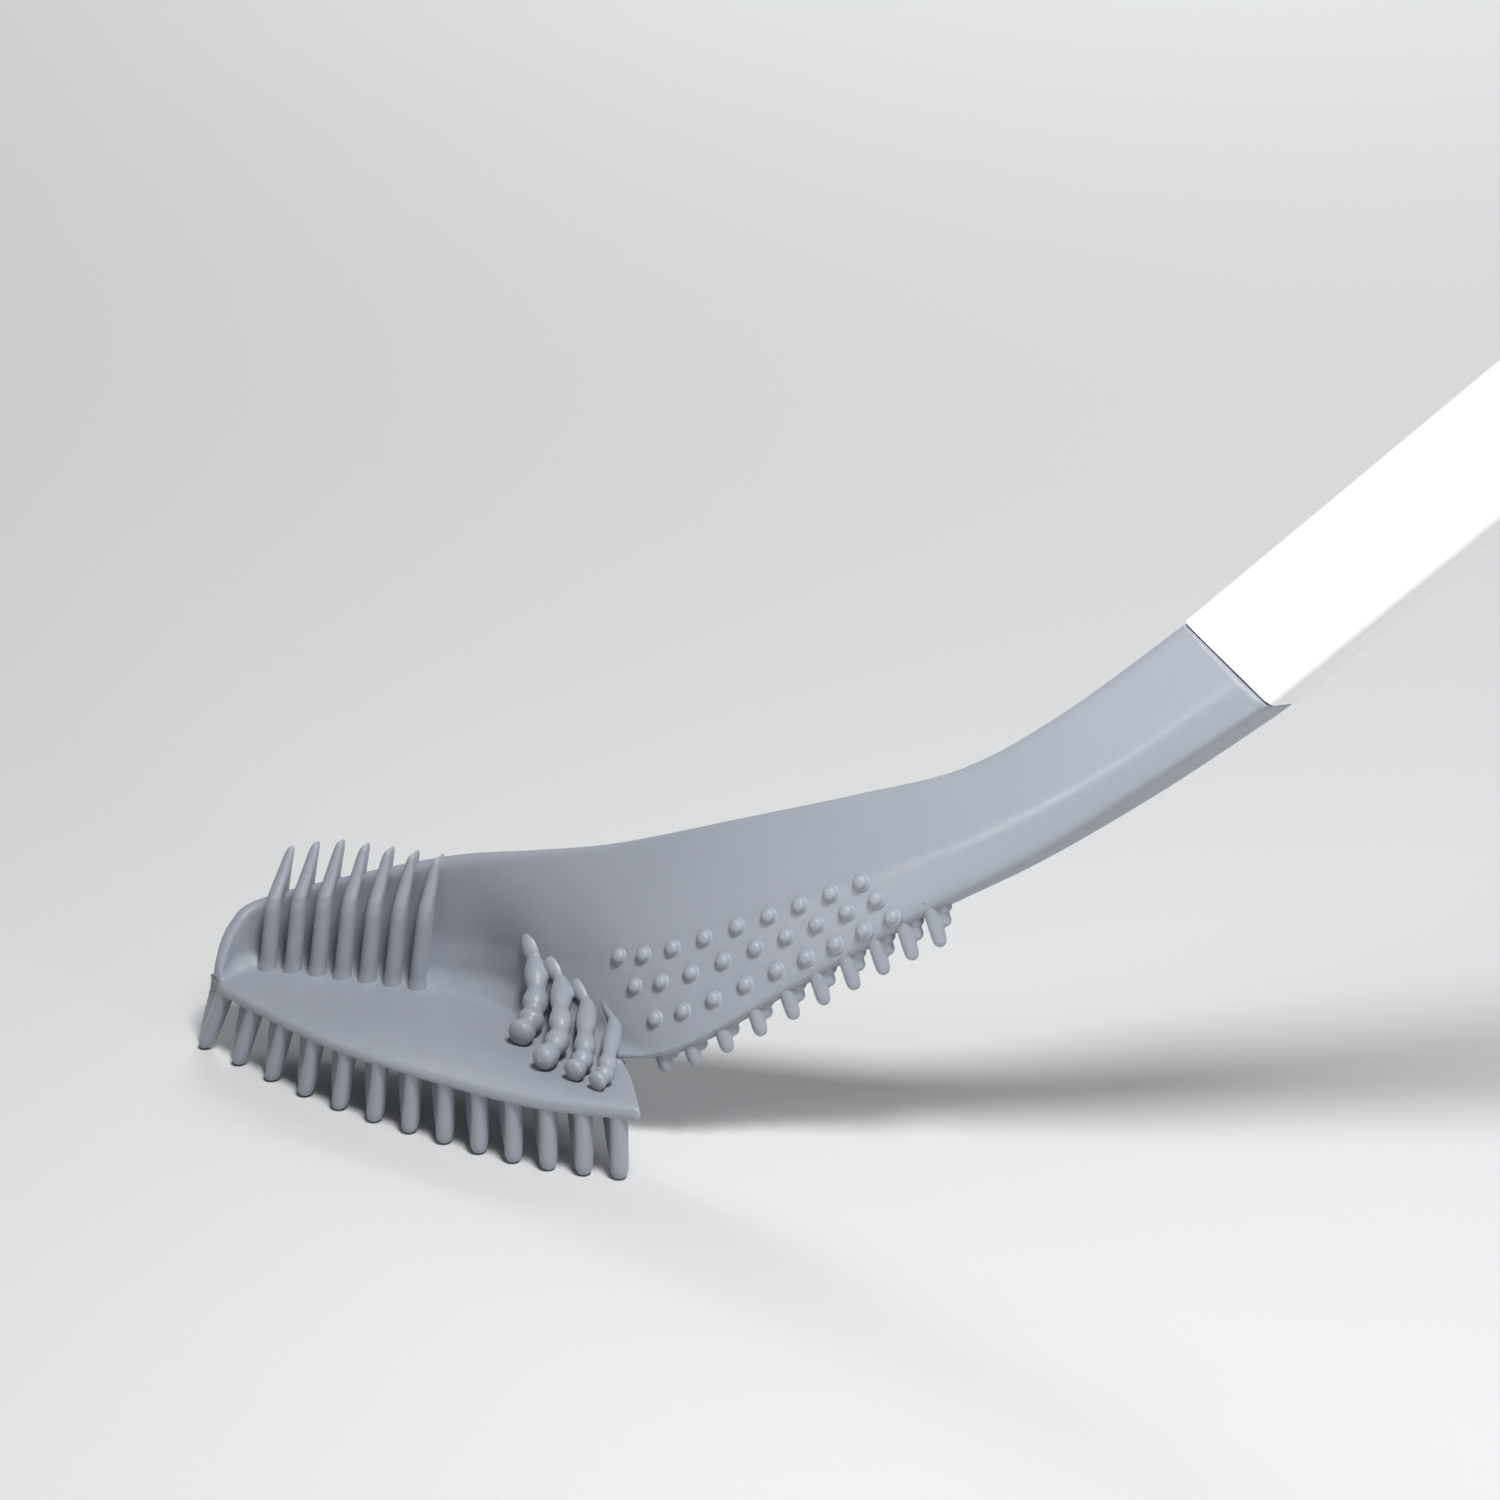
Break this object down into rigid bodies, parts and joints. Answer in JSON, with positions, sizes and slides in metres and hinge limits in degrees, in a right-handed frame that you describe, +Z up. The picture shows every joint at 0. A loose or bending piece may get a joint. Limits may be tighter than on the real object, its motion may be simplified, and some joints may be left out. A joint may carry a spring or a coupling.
{
  "type": "toilet brush",
  "caption": "Golf-club shaped toilet brush: a soft moulded head with fins under the sole, at the toe and along the blade's edge, plugged onto a flat hollow handle with a hanging hole.",
  "frame": {"origin": "centre of the hanging hole in the handle's end", "axes": "+Z up with the sole level, +X from the toe towards the handle's end, -Y towards the open side of the foot; the handle climbs at 45 degrees in the XZ plane"},
  "size_m": [0.3471, 0.049, 0.2443],
  "materials": {
    "soft_grey": "matt moulded thermoplastic rubber",
    "white_plastic": "glossy moulded polypropylene",
    "core_plastic": "plain moulded polypropylene",
    "seam_rubber": "matt"
  },
  "bodies": {
    "handle": {"handle_front_shell": "white_plastic", "handle_back_shell": "white_plastic", "hanging_eyelet": "white_plastic", "handle_spigot": "core_plastic", "seam_ring": "seam_rubber"},
    "head": {"neck_sleeve": "soft_grey", "neck_socket": "core_plastic", "blade_stiffener": "core_plastic", "blade": "soft_grey", "foot_wall": "soft_grey", "sole_plate": "soft_grey", "toe_fins": "soft_grey", "sole_fins": "soft_grey", "sole_studs": "soft_grey", "edge_fins": "soft_grey", "blade_nubs": "soft_grey", "heel_fingers": "soft_grey"}
  },
  "joints": [
    {"name": "head_pull", "type": "slide", "parent": "handle", "child": "head", "axis": [-0.7071, 0, -0.7071], "range_m": [0, 0.032]}
  ]
}
